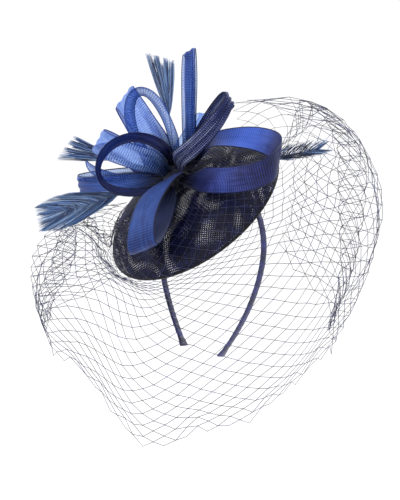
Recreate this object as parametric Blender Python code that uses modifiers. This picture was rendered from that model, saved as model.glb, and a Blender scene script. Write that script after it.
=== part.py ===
# Fascinator hat: a tilted straw disc on a headband, ribbon loops, feathers and a coarse net veil.
# Frame: origin inside the top of the headband where it sits on the head, +Z up, the wearer looks along -Y.
import bpy
import bmesh
import math
import numpy as np
from mathutils import Matrix, Vector

# headband
BAND_HALF_SPAN = 0.0576
BAND_CROWN_RISE = 0.0522
BAND_ARM_DROP = 0.0820
BAND_TIP_HALF_GAP = 0.0202
BAND_WIDTH = 0.0055
BAND_TIP_WIDTH = 0.0080
BAND_THICK = 0.0022
ARM_BEND = 1.8

# straw base, a shallow hollow dome
HAT_RADIUS = 0.0740
HAT_HEIGHT = 0.0210
HAT_WALL = 0.0016
HAT_TILT = math.radians(45.5)
HAT_LEAN = math.radians(-6.0)
HAT_CENTRE = Vector((-0.0147, -0.0048, -0.0279))
RIM_POWER = 2.6
CROWN_POWER = 1.8

# knot that gathers the loops, off the middle of the base
KNOT_CENTRE = Vector((-0.0087, 0.0093, 0.0246))
KNOT_RADIUS = 0.0124
KNOT_HEIGHT = 0.0096
GAP = 0.0003

# ribbon loops
RIBBON_WIDTH = 0.0260
RIBBON_THICK = 0.0010
LONGEST_LOOP = 0.1000
LOOP_ROOT = 0.0080
PINCH_WIDTH = 0.0070

# feathers
QUILL_WIDTH = 0.0018
FEATHER_THICK = 0.0012

# net veil
NET_REACH = 0.1300
NET_HEIGHT = 0.1800
NET_BAR = 0.0016
NET_SEAT = 0.0010
NET_AXIS_Y = -0.0100
NET_COLUMNS = 13
NET_ROWS = 10
VIEW_SIDE = math.radians(-41.7)

LOOP_COLUMNS = (
    "name", "around", "rise", "roll", "reach", "swell", "width", "drop",
    "flare", "turn", "lean", "skew", "lift")
LOOPS = (
    ("loop_upright", 80.6, 49.7, -130.5, 0.965, 0.123, 0.391, 0.21, -26.1, 59.0, 0.16, -0.02, 1.07),
    ("loop_upper_right", 34.4, 21.5, 117.2, 0.813, 0.103, 0.567, 0.26, -23.7, -67.2, 0.07, -0.93, 0.59),
    ("loop_wide_right", 16.5, -8.3, -112.1, 1.039, 0.254, 0.744, 0.36, 16.3, -64.0, 0.27, 0.54, -0.63),
    ("loop_wide_low", 289.4, 20.4, -177.6, 0.866, 0.139, 1.003, 0.5, -1.3, 6.9, -0.22, -0.35, -0.28),
    ("loop_left_ring", 227.2, 55.7, -145.4, 0.648, 0.214, 0.395, 0.32, 41.2, 5.5, -0.14, -0.46, -1.14),
    ("loop_left_back", 190.2, 50.7, 116.4, 0.659, 0.154, 0.807, 0.26, 3.9, -1.7, 0.04, 0.59, -0.12),
    ("loop_left_low", 209.2, 15.6, 116.6, 0.843, 0.1, 0.635, 0.3, -2.3, -3.7, -0.19, -0.06, 0.08),
    ("loop_left_small", 182.7, 29.9, -114.6, 0.796, 0.151, 0.531, 0.25, -15.6, 16.4, -0.12, 0.08, 0.4),
    ("loop_upper_left", 132.3, 59.7, 94.7, 0.701, 0.138, 0.584, 0.32, -26.5, 18.0, -0.07, 0.21, 0.24),
    ("loop_upper_back", 141.1, 23.3, 176.6, 0.818, 0.146, 0.848, 0.26, -13.5, -4.4, 0.17, 0.33, -0.2),
    ("loop_pale_back", 93.9, 7.4, -169.5, 0.637, 0.038, 0.489, 0.33, 3.8, -10.5, -0.08, -0.08, -0.68),
)

FEATHER_COLUMNS = ("name", "around", "rise", "roll", "reach", "width", "vane_from", "locks", "droop")
FEATHERS = (
    ("feather_upper", 123.0, 33.0, 147.9, 0.0970, 0.0209, 0.55, 7, 0.015),
    ("feather_left", 195.5, 29.9, 113.0, 0.0930, 0.0187, 0.62, 6, 0.006),
    ("feather_low", 242.2, 26.0, 83.0, 0.1130, 0.0270, 0.42, 8, -0.008),
    ("feather_right", 20.6, -6.1, 80.0, 0.1280, 0.0143, 0.68, 6, 0.000),
)

# where each rib of the net leaves the rim, then its reach and height at the shoulder, belly,
# lower belly and hem as shares of NET_REACH and NET_HEIGHT
VEIL_COLUMNS = ("turn", "rim", "shoulder", "shoulder_z", "belly", "belly_z", "low", "low_z", "hem", "hem_z")
VEIL = (
    (-140, 196, 0.690, -0.180, 0.755, -0.260, 0.755, -0.430, 0.710, -0.540),
    (-112, 204, 0.750, -0.215, 0.875, -0.290, 0.875, -0.480, 0.815, -0.620),
    (-86, 213, 0.780, -0.250, 0.935, -0.330, 0.945, -0.540, 0.870, -0.690),
    (-62, 224, 0.800, -0.290, 0.970, -0.400, 0.965, -0.610, 0.880, -0.745),
    (-40, 248, 0.780, -0.420, 0.970, -0.530, 0.965, -0.690, 0.880, -0.800),
    (-18, 282, 0.760, -0.480, 0.965, -0.620, 0.975, -0.820, 0.870, -1.010),
    (4, 316, 0.760, -0.400, 0.965, -0.570, 0.970, -0.790, 0.860, -0.965),
    (30, 347, 0.800, -0.250, 0.975, -0.430, 0.970, -0.650, 0.870, -0.845),
    (54, 13, 0.840, -0.040, 1.000, -0.250, 0.960, -0.500, 0.845, -0.710),
    (76, 34, 0.800, 0.200, 1.010, -0.010, 0.970, -0.360, 0.830, -0.655),
    (98, 52, 0.700, 0.290, 1.000, 0.040, 0.960, -0.330, 0.815, -0.610),
    (120, 70, 0.540, 0.310, 0.900, 0.130, 0.875, -0.230, 0.790, -0.490),
    (140, 88, 0.400, 0.300, 0.740, 0.190, 0.755, -0.120, 0.710, -0.330),
)

for old in list(bpy.data.objects):
    bpy.data.objects.remove(old, do_unlink=True)
for old in list(bpy.data.collections):
    bpy.data.collections.remove(old)

hat_parts = bpy.data.collections.new("fascinator")
cutters = bpy.data.collections.new("cutters")
bpy.context.scene.collection.children.link(hat_parts)
bpy.context.scene.collection.children.link(cutters)

HAT_TURN = Matrix.Rotation(HAT_LEAN, 4, "Y") @ Matrix.Rotation(HAT_TILT, 4, "X")
HAT_FRAME = Matrix.Translation(HAT_CENTRE) @ HAT_TURN


def material(name, colour, roughness):
    mat = bpy.data.materials.new(name)
    mat.use_nodes = True
    shader = mat.node_tree.nodes["Principled BSDF"]
    shader.inputs["Base Color"].default_value = (*colour, 1.0)
    shader.inputs["Roughness"].default_value = roughness
    return mat


def place(name, mesh, mat):
    item = bpy.data.objects.new(name, mesh)
    mesh.shade_smooth()
    if mat is None:
        cutters.objects.link(item)
        item.hide_render = True
        item.display_type = "WIRE"
    else:
        hat_parts.objects.link(item)
        mesh.materials.append(mat)
    return item


def grid_mesh(name, points, closed=False):
    rows, columns, _ = points.shape
    mesh = bpy.data.meshes.new(name)
    faces = []
    last = columns if closed else columns - 1
    for i in range(rows - 1):
        for j in range(last):
            k = (j + 1) % columns
            faces.append((i * columns + j, (i + 1) * columns + j, (i + 1) * columns + k, i * columns + k))
    mesh.from_pydata(points.reshape(-1, 3).tolist(), [], faces)
    mesh.update()
    return mesh


def thicken(item, thickness, offset=0.0, even=True):
    mod = item.modifiers.new("thickness", "SOLIDIFY")
    mod.thickness = thickness
    mod.offset = offset
    mod.use_even_offset = even
    mod.use_quality_normals = True


def cut(item, cutter):
    mod = item.modifiers.new("cut", "BOOLEAN")
    mod.operation = "DIFFERENCE"
    mod.solver = "EXACT"
    mod.object = cutter


def smooth_step(x):
    x = np.clip(x, 0.0, 1.0)
    return x * x * (3.0 - 2.0 * x)


def dome_height(radius):
    share = np.clip(radius / HAT_RADIUS, 0.0, 1.0)
    return HAT_HEIGHT * (1.0 - share ** RIM_POWER) ** (1.0 / CROWN_POWER)


def dome_profile(count, grow=0.0):
    angle = np.linspace(0.0, math.pi / 2.0, count)
    radius = (HAT_RADIUS + grow) * np.sin(angle) ** (2.0 / RIM_POWER)
    height = (HAT_HEIGHT + grow) * np.cos(angle) ** (2.0 / CROWN_POWER)
    return np.stack([radius, np.zeros(count), height], axis=1)


def hat_to_row(points):
    frame = np.array(HAT_FRAME)
    return points @ frame[:3, :3].T + frame[:3, 3]


def spin(name, profile, steps, mat, closed=False):
    mesh = bpy.data.meshes.new(name)
    count = len(profile)
    edges = [(i, i + 1) for i in range(count - 1)]
    if closed:
        edges.append((count - 1, 0))
    mesh.from_pydata([tuple(p) for p in profile], edges, [])
    item = place(name, mesh, mat)
    mod = item.modifiers.new("spin", "SCREW")
    mod.angle = math.tau
    mod.steps = steps
    mod.render_steps = steps
    mod.use_merge_vertices = True
    mod.merge_threshold = 0.00005
    mod.use_normal_calculate = True
    item.matrix_world = HAT_FRAME
    return item


def build_headband():
    bow = np.linspace(0.0, math.pi / 2.0, 13)
    fall = np.linspace(0.0, 1.0, 9)[1:]
    centre = BAND_THICK / 2.0
    arm_x = BAND_HALF_SPAN - (BAND_HALF_SPAN - BAND_TIP_HALF_GAP) * fall ** ARM_BEND
    arm_z = -BAND_CROWN_RISE - BAND_ARM_DROP * fall
    x = np.concatenate([BAND_HALF_SPAN * np.sin(bow), arm_x])
    z = np.concatenate([-BAND_CROWN_RISE * (1.0 - np.cos(bow)), arm_z]) + centre
    width = np.full(len(x), BAND_WIDTH)
    width[-2:] = (BAND_WIDTH * 1.1, BAND_TIP_WIDTH)
    rows = [np.stack([x, share * width, z], axis=1) for share in (-0.5, 0.0, 0.5)]
    item = place("headband", grid_mesh("headband", np.stack(rows, axis=1)), SATIN)
    mirror = item.modifiers.new("other arm", "MIRROR")
    mirror.use_axis = (True, False, False)
    mirror.merge_threshold = 0.00005
    thicken(item, BAND_THICK)
    edge = item.modifiers.new("soft edges", "BEVEL")
    edge.width = 0.0007
    edge.segments = 1
    edge.limit_method = "ANGLE"
    edge.angle_limit = math.radians(50.0)
    return item


def build_base():
    item = spin("hat_base", dome_profile(11), 40, STRAW)
    thicken(item, HAT_WALL, -1.0)
    return item


def build_knot_shape(name, grow, mat):
    mesh = bpy.data.meshes.new(name)
    work = bmesh.new()
    bmesh.ops.create_uvsphere(work, u_segments=20, v_segments=12, radius=1.0)
    size = Matrix.Diagonal((KNOT_RADIUS + grow, KNOT_RADIUS + grow, KNOT_HEIGHT + grow, 1.0))
    work.transform(Matrix.Translation(KNOT_CENTRE) @ size)
    work.to_mesh(mesh)
    work.free()
    item = place(name, mesh, mat)
    item.matrix_world = HAT_FRAME
    return item


def loop_points(row, stations=29, across=3):
    around, rise, roll = (math.radians(row[key]) for key in ("around", "rise", "roll"))
    reach = row["reach"] * LONGEST_LOOP
    swell = row["swell"] * LONGEST_LOOP
    width = row["width"] * RIBBON_WIDTH
    out = np.array([math.cos(rise) * math.cos(around), math.cos(rise) * math.sin(around), math.sin(rise)])
    flat = np.array([-math.sin(around), math.cos(around), 0.0])
    side = flat * math.cos(roll) + np.cross(out, flat) * math.sin(roll)
    swing = np.cross(side, out)
    start = math.acos(1.0 - LOOP_ROOT / reach)
    phase = np.linspace(start, math.tau - start, stations)
    share = (1.0 - np.cos(phase)) / 2.0
    sample = np.linspace(0.05, math.pi, 80)
    peak = (np.sin(sample) * ((1.0 - np.cos(sample)) / 2.0) ** row["drop"]).max()
    bow = swell * np.sin(phase) * share ** row["drop"] / peak + row["lean"] * reach * share ** 2
    offset = (row["skew"] * np.cos(phase / 2.0) + row["lift"]) * width * smooth_step(share * 3.0)
    centre = np.outer(reach * share, out) + np.outer(bow, swing) + np.outer(offset, side)
    along = np.gradient(centre, axis=0)
    along /= np.linalg.norm(along, axis=1)[:, None]
    face = np.cross(along, side)
    face /= np.linalg.norm(face, axis=1)[:, None]
    twist = np.radians(row["flare"]) * smooth_step(share * 2.5)
    twist = twist + np.radians(row["turn"]) * np.cos(phase / 2.0)
    lie = side[None, :] * np.cos(twist)[:, None] + face * np.sin(twist)[:, None]
    spread = PINCH_WIDTH + (width - PINCH_WIDTH) * smooth_step((share - 0.04) / 0.35)
    steps = np.linspace(-0.5, 0.5, across)
    points = centre[:, None, :] + lie[:, None, :] * (steps[None, :, None] * spread[:, None, None])
    return points + np.array(KNOT_CENTRE)


def build_loop(row, knot_room):
    points = hat_to_row(loop_points(row))
    item = place(row["name"], grid_mesh(row["name"], points), CRIN)
    thicken(item, RIBBON_THICK, even=False)
    cut(item, knot_room)
    return item


def feather_frame(row):
    around, rise, roll = (math.radians(row[key]) for key in ("around", "rise", "roll"))
    out = np.array([math.cos(rise) * math.cos(around), math.cos(rise) * math.sin(around), math.sin(rise)])
    flat = np.array([-math.sin(around), math.cos(around), 0.0])
    side = flat * math.cos(roll) + np.cross(out, flat) * math.sin(roll)
    return out, side, np.cross(side, out)


def build_feather(row, knot_room):
    out, side, swing = feather_frame(row)
    locks = row["locks"]
    vane_from = row["vane_from"]
    stations = np.concatenate([np.linspace(0.05, vane_from, 5), np.linspace(vane_from, 1.0, 7)[1:]])
    points = []
    faces = []
    starts = []
    for lock in range(locks):
        rows_of_lock = []
        middle = (lock + 0.5) / locks - 0.5
        short = 1.0 - 0.10 * abs(2.0 * middle) ** 1.5 - 0.03 * (lock % 2)
        for share in stations:
            grow = smooth_step((share - vane_from + 0.03) / (1.0 - vane_from) * 1.7)
            spread = QUILL_WIDTH + (row["width"] - QUILL_WIDTH) * grow
            far = share if share < vane_from else vane_from + (share - vane_from) * short
            split = max(0.0, (share - vane_from) / (1.0 - vane_from) - 0.45) / 0.55
            half = 0.5 / locks * (1.0 - 0.55 * split)
            pair = []
            for edge in (-half, half):
                across = (middle + edge) * spread
                centre = out * (far * row["reach"]) + swing * (row["droop"] * row["reach"] * far ** 2)
                pair.append(len(points))
                points.append(centre + side * across + np.array(KNOT_CENTRE))
            rows_of_lock.append(pair)
        starts.append(rows_of_lock)
        for low, high in zip(rows_of_lock, rows_of_lock[1:]):
            faces.append((low[0], high[0], high[1], low[1]))
    mesh = bpy.data.meshes.new(row["name"])
    mesh.from_pydata(hat_to_row(np.array(points)).tolist(), [], faces)
    work = bmesh.new()
    work.from_mesh(mesh)
    bmesh.ops.remove_doubles(work, verts=work.verts, dist=0.00002)
    work.to_mesh(mesh)
    work.free()
    item = place(row["name"], mesh, FEATHER)
    thicken(item, FEATHER_THICK)
    cut(item, knot_room)
    return item


def veil_rib(row, shares):
    turn = math.radians(row["turn"])
    facing = np.array([math.cos(VIEW_SIDE + turn), math.sin(VIEW_SIDE + turn)])
    on_hat = math.radians(row["rim"])
    clear = HAT_RADIUS + GAP + NET_BAR * 0.75
    knots = [hat_to_row(np.array([clear * math.cos(on_hat), clear * math.sin(on_hat), NET_SEAT]))]
    for place_name in ("shoulder", "belly", "low", "hem"):
        reach = row[place_name] * NET_REACH
        height = row[place_name + "_z"] * NET_HEIGHT
        knots.append(np.array([facing[0] * reach, NET_AXIS_Y + facing[1] * reach, height]))
    return curve_through(np.array(knots), shares)


def curve_through(knots, shares):
    steps = np.linalg.norm(np.diff(knots, axis=0), axis=1) ** 0.6
    stops = np.concatenate([[0.0], np.cumsum(steps)])
    stops /= stops[-1]
    return hermite(stops, knots, shares)


def hermite(stops, knots, shares):
    slopes = np.gradient(knots, stops, axis=0)
    spot = np.clip(np.searchsorted(stops, shares, side="right") - 1, 0, len(stops) - 2)
    span = (stops[spot + 1] - stops[spot])[:, None]
    t = ((shares - stops[spot])[:, None]) / span
    first = (2 * t ** 3 - 3 * t ** 2 + 1) * knots[spot] + (t ** 3 - 2 * t ** 2 + t) * span * slopes[spot]
    second = (-2 * t ** 3 + 3 * t ** 2) * knots[spot + 1] + (t ** 3 - t ** 2) * span * slopes[spot + 1]
    return first + second


def veil_surface(turns, shares):
    rows = [dict(zip(VEIL_COLUMNS, line)) for line in VEIL]
    ribs = np.array([veil_rib(row, shares) for row in rows])
    stops = np.array([row["turn"] for row in rows], dtype=float)
    flat = hermite(stops, ribs.reshape(len(rows), -1), turns)
    return flat.reshape(len(turns), len(shares), 3)


def build_veil():
    turns = np.linspace(VEIL[0][0], VEIL[-1][0], 2 * NET_COLUMNS + 1)
    shares = np.linspace(0.0, 1.0, NET_ROWS + 1)
    points = veil_surface(turns, shares)
    index = {}
    used = []
    faces = []
    for i in range(1, 2 * NET_COLUMNS):
        for j in range(1, NET_ROWS):
            if (i + j) % 2 == 0:
                continue
            ring = ((i - 1, j), (i, j + 1), (i + 1, j), (i, j - 1))
            for spot in ring:
                if spot not in index:
                    index[spot] = len(used)
                    used.append(points[spot])
            faces.append([index[spot] for spot in ring])
    mesh = bpy.data.meshes.new("veil")
    mesh.from_pydata([tuple(p) for p in used], [], faces)
    mesh.update()
    item = place("veil", mesh, NET)
    mod = item.modifiers.new("net", "WIREFRAME")
    mod.thickness = NET_BAR
    mod.use_even_offset = False
    mod.use_boundary = True
    mod.use_replace = True
    print("veil gaps", len(faces))
    return item


STRAW = material("navy_sinamay", (0.012, 0.016, 0.045), 0.75)
CRIN = material("royal_crin", (0.030, 0.070, 0.290), 0.35)
SATIN = material("navy_satin", (0.014, 0.020, 0.080), 0.35)
FEATHER = material("blue_feather", (0.070, 0.120, 0.300), 0.60)
NET = material("navy_net", (0.020, 0.025, 0.090), 0.60)

build_headband()
build_base()
knot_room = build_knot_shape("knot_room", GAP, None)
dome_room = spin("dome_room", np.concatenate([dome_profile(11, GAP), [(0.0, 0.0, 0.0)]]), 40, None)
cut(build_knot_shape("knot", 0.0, CRIN), dome_room)
for line in LOOPS:
    build_loop(dict(zip(LOOP_COLUMNS, line)), knot_room)
for line in FEATHERS:
    build_feather(dict(zip(FEATHER_COLUMNS, line)), knot_room)
build_veil()
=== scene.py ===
import math
import bpy
import numpy as np
from mathutils import Matrix, Vector


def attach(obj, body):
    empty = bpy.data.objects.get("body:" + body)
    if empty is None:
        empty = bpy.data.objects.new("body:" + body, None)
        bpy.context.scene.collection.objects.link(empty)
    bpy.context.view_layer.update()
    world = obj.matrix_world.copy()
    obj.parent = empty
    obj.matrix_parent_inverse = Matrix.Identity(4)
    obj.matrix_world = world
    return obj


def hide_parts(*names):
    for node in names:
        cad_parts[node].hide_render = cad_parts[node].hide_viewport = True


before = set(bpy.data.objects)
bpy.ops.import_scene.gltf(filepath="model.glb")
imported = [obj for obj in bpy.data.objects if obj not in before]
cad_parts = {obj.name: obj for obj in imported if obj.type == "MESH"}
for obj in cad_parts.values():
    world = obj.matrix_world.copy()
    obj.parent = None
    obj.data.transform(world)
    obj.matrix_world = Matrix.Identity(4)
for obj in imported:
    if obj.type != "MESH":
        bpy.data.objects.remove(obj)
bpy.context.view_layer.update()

tau = math.tau
mm = 0.001


def linear(code):  # sRGB hex to the linear colour that a shader takes
    parts = [int(code[i:i + 2], 16) / 255 for i in (0, 2, 4)]
    return (*[c / 12.92 if c <= 0.04045 else ((c + 0.055) / 1.055) ** 2.4 for c in parts], 1.0)


def addNode(tree, kind, settings=None, links=None):
    node = tree.nodes.new(kind)
    for key, value in (settings or {}).items():
        if isinstance(key, str) and hasattr(node, key):
            setattr(node, key, value)
        else:
            node.inputs[key].default_value = value
    for key, source in (links or {}).items():
        tree.links.new(source, node.inputs[key])
    return node


def newMaterial(name):
    mat = bpy.data.materials.new(name)
    mat.use_nodes = True
    mat.node_tree.nodes.clear()
    return mat, mat.node_tree


def blendStops(tree, factor, stops):  # a colour ramp from (place, hex) pairs
    ramp = addNode(tree, "ShaderNodeValToRGB", links={"Fac": factor})
    ends = ramp.color_ramp.elements
    while len(ends) < len(stops):
        ends.new(0.5)
    for end, (place, code) in zip(ends, stops):
        end.position = place
        end.color = linear(code)
    return ramp.outputs["Color"]


# ---------- shared shapes ----------

def smoothStep(x):
    x = np.clip(x, 0.0, 1.0)
    return x * x * (3.0 - 2.0 * x)


def hermite(stops, knots, shares):
    slopes = np.gradient(knots, stops, axis=0)
    spot = np.clip(np.searchsorted(stops, shares, side="right") - 1, 0, len(stops) - 2)
    span = (stops[spot + 1] - stops[spot])[:, None]
    t = ((shares - stops[spot])[:, None]) / span
    first = (2 * t ** 3 - 3 * t ** 2 + 1) * knots[spot] + (t ** 3 - 2 * t ** 2 + t) * span * slopes[spot]
    second = (-2 * t ** 3 + 3 * t ** 2) * knots[spot + 1] + (t ** 3 - t ** 2) * span * slopes[spot + 1]
    return first + second


def gridFaces(rows, columns, closed=False):
    i, j = np.meshgrid(np.arange(rows - 1), np.arange(columns if closed else columns - 1), indexing="ij")
    i, j = i.ravel(), j.ravel()
    k = (j + 1) % columns
    return np.stack([i * columns + j, (i + 1) * columns + j, (i + 1) * columns + k, i * columns + k], axis=1)


def newPiece(name, points, faces, mat, edges=()):
    mesh = bpy.data.meshes.new(name)
    mesh.from_pydata(np.asarray(points).reshape(-1, 3).tolist(), list(edges), [list(map(int, f)) for f in faces])
    mesh.update()
    if faces is not None and len(mesh.polygons):
        mesh.shade_smooth()
    item = bpy.data.objects.new(name, mesh)
    bpy.context.scene.collection.objects.link(item)
    mesh.materials.append(mat)
    return item


def settle(item):  # modifiers into the mesh, so that none is live
    graph = bpy.context.evaluated_depsgraph_get()
    mesh = bpy.data.meshes.new_from_object(item.evaluated_get(graph))
    item.modifiers.clear()
    item.data = mesh
    return item


def runTree(item, tree, values):
    mod = item.modifiers.new(tree.name, "NODES")
    mod.node_group = tree
    for socket in tree.interface.items_tree:
        if socket.item_type == "SOCKET" and socket.in_out == "INPUT" and socket.name in values:
            mod[socket.identifier] = values[socket.name]
    return settle(item)


def newTree(name, inputs):
    tree = bpy.data.node_groups.new(name, "GeometryNodeTree")
    tree.interface.new_socket(name="Geometry", in_out="INPUT", socket_type="NodeSocketGeometry")
    for label, kind in inputs:
        tree.interface.new_socket(name=label, in_out="INPUT", socket_type="NodeSocket" + kind)
    tree.interface.new_socket(name="Geometry", in_out="OUTPUT", socket_type="NodeSocketGeometry")
    return tree, addNode(tree, "NodeGroupInput"), addNode(tree, "NodeGroupOutput")


# ---------- camera: the photograph looks a little down on the hat's left front ----------
viewer = {"turn": 48.3, "rise": 7.5, "roll": 4.3, "lens": 144.0, "away": 1.5,
          "originX": 215.7, "originY": 173.8, "metresPerPixel": 0.75 * mm}


def addCamera():
    turn, rise, roll = (math.radians(viewer[key]) for key in ("turn", "rise", "roll"))
    back = Vector((math.sin(turn) * math.cos(rise), -math.cos(turn) * math.cos(rise), math.sin(rise)))
    right = Vector((math.cos(turn), math.sin(turn), 0.0))
    up = back.cross(right)
    tiltRight = right * math.cos(roll) + up * math.sin(roll)
    tiltUp = up * math.cos(roll) - right * math.sin(roll)
    step = viewer["metresPerPixel"]
    target = -tiltRight * ((viewer["originX"] - 200) * step) - tiltUp * ((250 - viewer["originY"]) * step)
    data = bpy.data.cameras.new("viewer")
    data.lens, data.sensor_fit, data.sensor_height = viewer["lens"], "VERTICAL", 36.0
    camera = bpy.data.objects.new("viewer", data)
    place = Matrix((tiltRight, tiltUp, back)).transposed().to_4x4()
    place.translation = target + back * viewer["away"]
    camera.matrix_world = place
    bpy.context.scene.collection.objects.link(camera)
    bpy.context.scene.camera = camera


addCamera()
print("camera placed")


# ---------- straw base ----------
straw = {"radius": 74.0 * mm, "height": 21.0 * mm, "rimPower": 2.6, "crownPower": 1.8,
         "tilt": 45.5, "lean": -6.0, "centre": (-0.0147, -0.0048, -0.0279),
         "pitch": 1.70 * mm, "threadWidth": 1.12 * mm, "lift": 0.20 * mm,
         "turnOuter": 22.0, "turnInner": 25.5, "sink": 0.35 * mm, "layerDrop": 0.9 * mm, "drift": 1.2 * mm, "edgeCord": 1.0 * mm}
hatFrame = (Matrix.Translation(straw["centre"])
            @ Matrix.Rotation(math.radians(straw["lean"]), 4, "Y")
            @ Matrix.Rotation(math.radians(straw["tilt"]), 4, "X"))


def hatToRow(points):
    turned = np.array(hatFrame)
    return np.asarray(points) @ turned[:3, :3].T + turned[:3, 3]


def domeHeight(radius, grow=0.0):
    share = np.clip(radius / (straw["radius"] + grow), 0.0, 1.0)
    return (straw["height"] + grow) * (1.0 - share ** straw["rimPower"]) ** (1.0 / straw["crownPower"])


def domeProfile(count):  # equal steps along the blocked straw, from crown to rim
    angle = np.linspace(0.0, math.pi / 2, 4000)
    radius = straw["radius"] * np.sin(angle) ** (2.0 / straw["rimPower"])
    height = straw["height"] * np.cos(angle) ** (2.0 / straw["crownPower"])
    length = np.concatenate([[0.0], np.cumsum(np.hypot(np.diff(radius), np.diff(height)))])
    even = np.linspace(0.0, length[-1], count)
    return even, np.interp(even, length, radius), np.interp(even, length, height)


def strawLayer(turn, drop, drift):
    along, radius, height = domeProfile(600)
    slopeR, slopeZ = np.gradient(radius, along), np.gradient(height, along)
    reach = along[-1] - 0.3 * mm
    pitch, half = straw["pitch"], straw["threadWidth"] / 2
    turn = math.radians(turn)
    points, faces, crests, lines = [], [], [], int(reach / pitch)
    for family in (0, 1):
        for number in range(-lines, lines + 1):
            offset = number * pitch
            run = math.sqrt(max(reach ** 2 - offset ** 2, 0.0))
            steps = int(run / pitch)
            if steps < 1:
                continue
            s = np.arange(-2 * steps, 2 * steps + 1) * pitch / 2
            wave = np.cos(math.pi * (s / pitch + number + family))  # over one thread, under the next
            sides = []
            for side in (-half, half):
                a = np.full(len(s), offset + side)
                flat = np.stack([s, a] if family else [a, s], axis=1)
                x = flat[:, 0] * math.cos(turn) - flat[:, 1] * math.sin(turn)
                y = flat[:, 0] * math.sin(turn) + flat[:, 1] * math.cos(turn)
                x, y = (x + drift * np.sin(61 * y + 23 * x + 1.0) + drift * 0.6 * np.sin(140 * x),
                        y + drift * np.sin(53 * x - 37 * y) + drift * 0.6 * np.sin(117 * y + 2.0))
                far = np.hypot(x, y)
                unit = np.stack([x, y], axis=1) / np.maximum(far, 1e-9)[:, None]
                r = np.interp(far, along, radius)
                z = np.interp(far, along, height)
                out = -np.interp(far, along, slopeZ)
                rise = np.interp(far, along, slopeR)
                move = wave * straw["lift"] - drop
                sides.append(np.stack([unit[:, 0] * (r + out * move), unit[:, 1] * (r + out * move), z + rise * move], axis=1))
            points.append(np.stack(sides, axis=1).reshape(-1, 3))
            crests.append(np.repeat(0.5 + 0.5 * wave, 2))
            faces.append((len(s), 2))
    whole, total, start = [], np.concatenate(points), 0
    for block, (rows, columns) in zip(points, faces):
        whole.append(gridFaces(rows, columns) + start)
        start += len(block)
    return hatToRow(total), np.concatenate(whole), np.concatenate(crests)


def strawMaterial():  # sinamay: flat banana-fibre threads, dyed and stiffened, with a dry sheen
    mat, tree = newMaterial("dyedSinamay")
    place = addNode(tree, "ShaderNodeTexCoord").outputs["Object"]
    fleck = addNode(tree, "ShaderNodeTexNoise", {"Scale": 420.0, "Detail": 3.0}, {"Vector": place}).outputs["Fac"]
    patch = addNode(tree, "ShaderNodeTexNoise", {"Scale": 90.0, "Detail": 3.0}, {"Vector": place}).outputs["Fac"]
    paintedCrestHighlight = addNode(tree, "ShaderNodeAttribute", {"attribute_name": "paintedCrestHighlight"}).outputs["Fac"]
    light = addNode(tree, "ShaderNodeMath", {"operation": "MULTIPLY", 1: 0.40}, {0: fleck}).outputs[0]
    light = addNode(tree, "ShaderNodeMath", {"operation": "MULTIPLY_ADD", 1: 0.22}, {0: patch, 2: light}).outputs[0]
    # the crests of the outer threads are painted lighter: a painted highlight
    light = addNode(tree, "ShaderNodeMath", {"operation": "MULTIPLY_ADD", 1: 0.38}, {0: paintedCrestHighlight, 2: light}).outputs[0]
    colour = blendStops(tree, light, [(0.36, "020309"), (0.56, "070a22"), (0.80, "222c66")])
    bump = addNode(tree, "ShaderNodeBump", {"Strength": 0.35, "Distance": 0.0002}, {"Height": fleck})
    skin = addNode(tree, "ShaderNodeBsdfPrincipled", {"Roughness": 0.42, "Specular IOR Level": 0.25},
                   {"Base Color": colour, "Normal": bump.outputs[0]})
    addNode(tree, "ShaderNodeOutputMaterial", links={"Surface": skin.outputs[0]})
    return mat


def sweep(path, across, thick, around, normal):  # closed tube of an oval section along a path
    path = np.asarray(path)
    along = np.gradient(path, axis=0)
    along /= np.linalg.norm(along, axis=1)[:, None]
    side = np.cross(normal, along)
    side /= np.linalg.norm(side, axis=1)[:, None]
    up = np.cross(along, side)
    angle = np.linspace(0, tau, around, endpoint=False)
    ring = side[:, None] * (np.cos(angle)[None, :, None] * across) + up[:, None] * (np.sin(angle)[None, :, None] * thick)
    return path[:, None] + ring


def buildStraw():
    mat = strawMaterial()
    outer, outerFaces, outerCrests = strawLayer(straw["turnOuter"], straw["sink"], 0.0)
    inner, innerFaces, innerCrests = strawLayer(straw["turnInner"], straw["sink"] + straw["layerDrop"], straw["drift"])
    item = newPiece("straw_base", np.concatenate([outer, inner]),
                    np.concatenate([outerFaces, innerFaces + len(outer)]), mat)
    # how high each outer thread rides, painted lighter in the material as a highlight; the inner layer gets none
    paintedCrestHighlight = item.data.attributes.new("paintedCrestHighlight", "FLOAT", "POINT")
    paintedCrestHighlight.data.foreach_set("value", np.concatenate([outerCrests, innerCrests * 0.0]))
    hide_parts("hat_base")
    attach(item, "root")
    angle = np.linspace(0, tau, 180, endpoint=False)
    rim = straw["radius"] - straw["edgeCord"] * 0.9
    path = np.stack([rim * np.cos(angle), rim * np.sin(angle), np.full(180, 0.9 * mm)], axis=1)
    unit = path * (1, 1, 0) / rim
    turn = np.linspace(0, tau, 10, endpoint=False)
    twist = 1.0 + 0.10 * np.cos(angle[:, None] * 90 + turn[None])  # the wrapped edge is not quite even
    ring = path[:, None] + unit[:, None] * (np.cos(turn) * straw["edgeCord"])[None, :, None] * twist[..., None]
    ring[..., 2] += np.sin(turn)[None] * straw["edgeCord"] * 1.2
    count = len(angle)
    faces = np.array([(i * 10 + j, ((i + 1) % count) * 10 + j, ((i + 1) % count) * 10 + (j + 1) % 10, i * 10 + (j + 1) % 10)
                      for i in range(count) for j in range(10)])
    edge = newPiece("straw_edge", hatToRow(ring.reshape(-1, 3)), faces, mat)
    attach(edge, "root")
    print("straw base", len(item.data.polygons))


buildStraw()


# ---------- ribbon loops of horsehair braid ----------
ribbon = {"widest": 26.0 * mm, "longest": 100.0 * mm, "root": 8.0 * mm, "pinch": 7.0 * mm,
          "thick": 0.45 * mm, "stations": 110, "across": 25,
          "knotCentre": (-0.0087, 0.0093, 0.0246)}
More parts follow.
